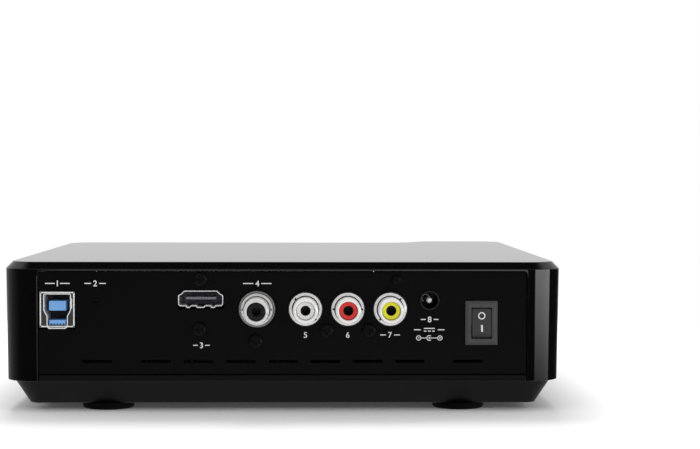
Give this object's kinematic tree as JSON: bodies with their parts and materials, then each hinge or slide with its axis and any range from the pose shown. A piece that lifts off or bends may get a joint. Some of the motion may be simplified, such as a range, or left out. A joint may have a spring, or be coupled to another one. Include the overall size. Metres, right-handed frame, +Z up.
{
  "type": "media player with hard drive tray",
  "caption": "Flat rounded desktop media player with rear audio, video, data and power sockets, a rocker switch and a front drive tray that slides out.",
  "frame": {"origin": "centre of the bounding box in plan, on the plane under the feet", "axes": "+Z up, +Y out of the rear socket panel, +X to the right when seen from the front"},
  "size_m": [0.184, 0.2026, 0.0493],
  "materials": {
    "gloss_black": "high gloss",
    "base_black": "fine matte",
    "panel_black": "satin black powder coat",
    "smoke_window": "smoked clear plastic",
    "rubber_black": "soft matte",
    "screw_black": "black oxide",
    "screw_steel": "zinc plated",
    "nickel": "bright nickel plate",
    "tin_plate": "tin plated",
    "blue_plastic": "satin",
    "dark_plastic": "satin",
    "white_plastic": "satin",
    "red_plastic": "satin",
    "yellow_plastic": "satin",
    "board_green": "solder mask over laminate",
    "chip_black": "moulded epoxy",
    "sink_alloy": "anodised",
    "can_alloy": "bare",
    "ribbon_white": "film",
    "lamp_lens": "diffused lens",
    "cage_steel": "zinc plated sheet",
    "tray_plastic": "fine matte",
    "casting_alloy": "die cast",
    "lid_steel": "brushed"
  },
  "bodies": {
    "housing": {"top_cover": "gloss_black", "base_shell": "base_black", "rear_panel": "panel_black", "front_bezel": "gloss_black", "status_window": "smoke_window", "foot_front_left": "rubber_black", "foot_front_right": "rubber_black", "foot_rear_left": "rubber_black", "foot_rear_right": "rubber_black", "panel_screws": "screw_black", "case_screws": "screw_black", "board_screws": "screw_steel", "cage_screws": "screw_steel", "data_socket_shell": "tin_plate", "data_socket_insert": "blue_plastic", "video_socket_shell": "tin_plate", "video_socket_insert": "dark_plastic", "coax_body": "dark_plastic", "coax_sleeve": "nickel", "coax_insulator": "dark_plastic", "av_block": "dark_plastic", "left_sleeve": "nickel", "right_sleeve": "nickel", "composite_sleeve": "nickel", "left_insulator": "white_plastic", "right_insulator": "red_plastic", "composite_insulator": "yellow_plastic", "dc_jack_body": "dark_plastic", "dc_jack_pin": "nickel", "switch_frame": "dark_plastic", "switch_terminals": "nickel", "reset_switch_body": "dark_plastic", "main_board": "board_green", "processor": "chip_black", "heat_sink": "sink_alloy", "memory_chips": "chip_black", "capacitors": "can_alloy", "front_board": "board_green", "power_tact_switch": "dark_plastic", "status_leds": "lamp_lens", "infrared_receiver": "dark_plastic", "front_ribbon": "ribbon_white", "drive_cage": "cage_steel", "backplane_board": "board_green", "drive_socket": "dark_plastic", "drive_ribbon": "ribbon_white"},
    "rocker": {"rocker": "dark_plastic"},
    "reset_plunger": {"reset_plunger": "dark_plastic"},
    "power_button": {"power_button": "gloss_black"},
    "tray_handle": {"tray_handle": "gloss_black"},
    "latch_button": {"latch_button": "gloss_black"},
    "drive_tray": {"tray_frame": "tray_plastic", "tray_fascia": "gloss_black", "drive_casting": "casting_alloy", "drive_lid": "lid_steel", "drive_board": "board_green", "drive_plug": "dark_plastic", "drive_screws": "screw_steel", "handle_pin": "screw_steel", "latch_spring": "screw_steel"}
  },
  "joints": [
    {"name": "rocker_tilt", "type": "hinge", "parent": "housing", "child": "rocker", "pos_m": [-0.0651, 0.08675, 0.0294], "axis": [-1, 0, 0], "range_deg": [0, 20]},
    {"name": "reset_press", "type": "slide", "parent": "housing", "child": "reset_plunger", "axis": [0, -1, 0], "range_m": [0, 0.0003], "stiffness_N_per_m": 400, "springref_m": -0.0002},
    {"name": "power_press", "type": "slide", "parent": "housing", "child": "power_button", "axis": [0, 1, 0], "range_m": [0, 0.0008], "stiffness_N_per_m": 400, "springref_m": -0.0004},
    {"name": "tray_slide", "type": "slide", "parent": "housing", "child": "drive_tray", "axis": [0, -1, 0], "range_m": [0, 0.155]},
    {"name": "handle_swing", "type": "hinge", "parent": "drive_tray", "child": "tray_handle", "pos_m": [0.066, -0.08335, 0.0285], "axis": [0, 0, 1], "range_deg": [0, 80]},
    {"name": "latch_press", "type": "slide", "parent": "drive_tray", "child": "latch_button", "axis": [0, 1, 0], "range_m": [0, 0.0008], "stiffness_N_per_m": 400, "springref_m": -0.0004}
  ]
}
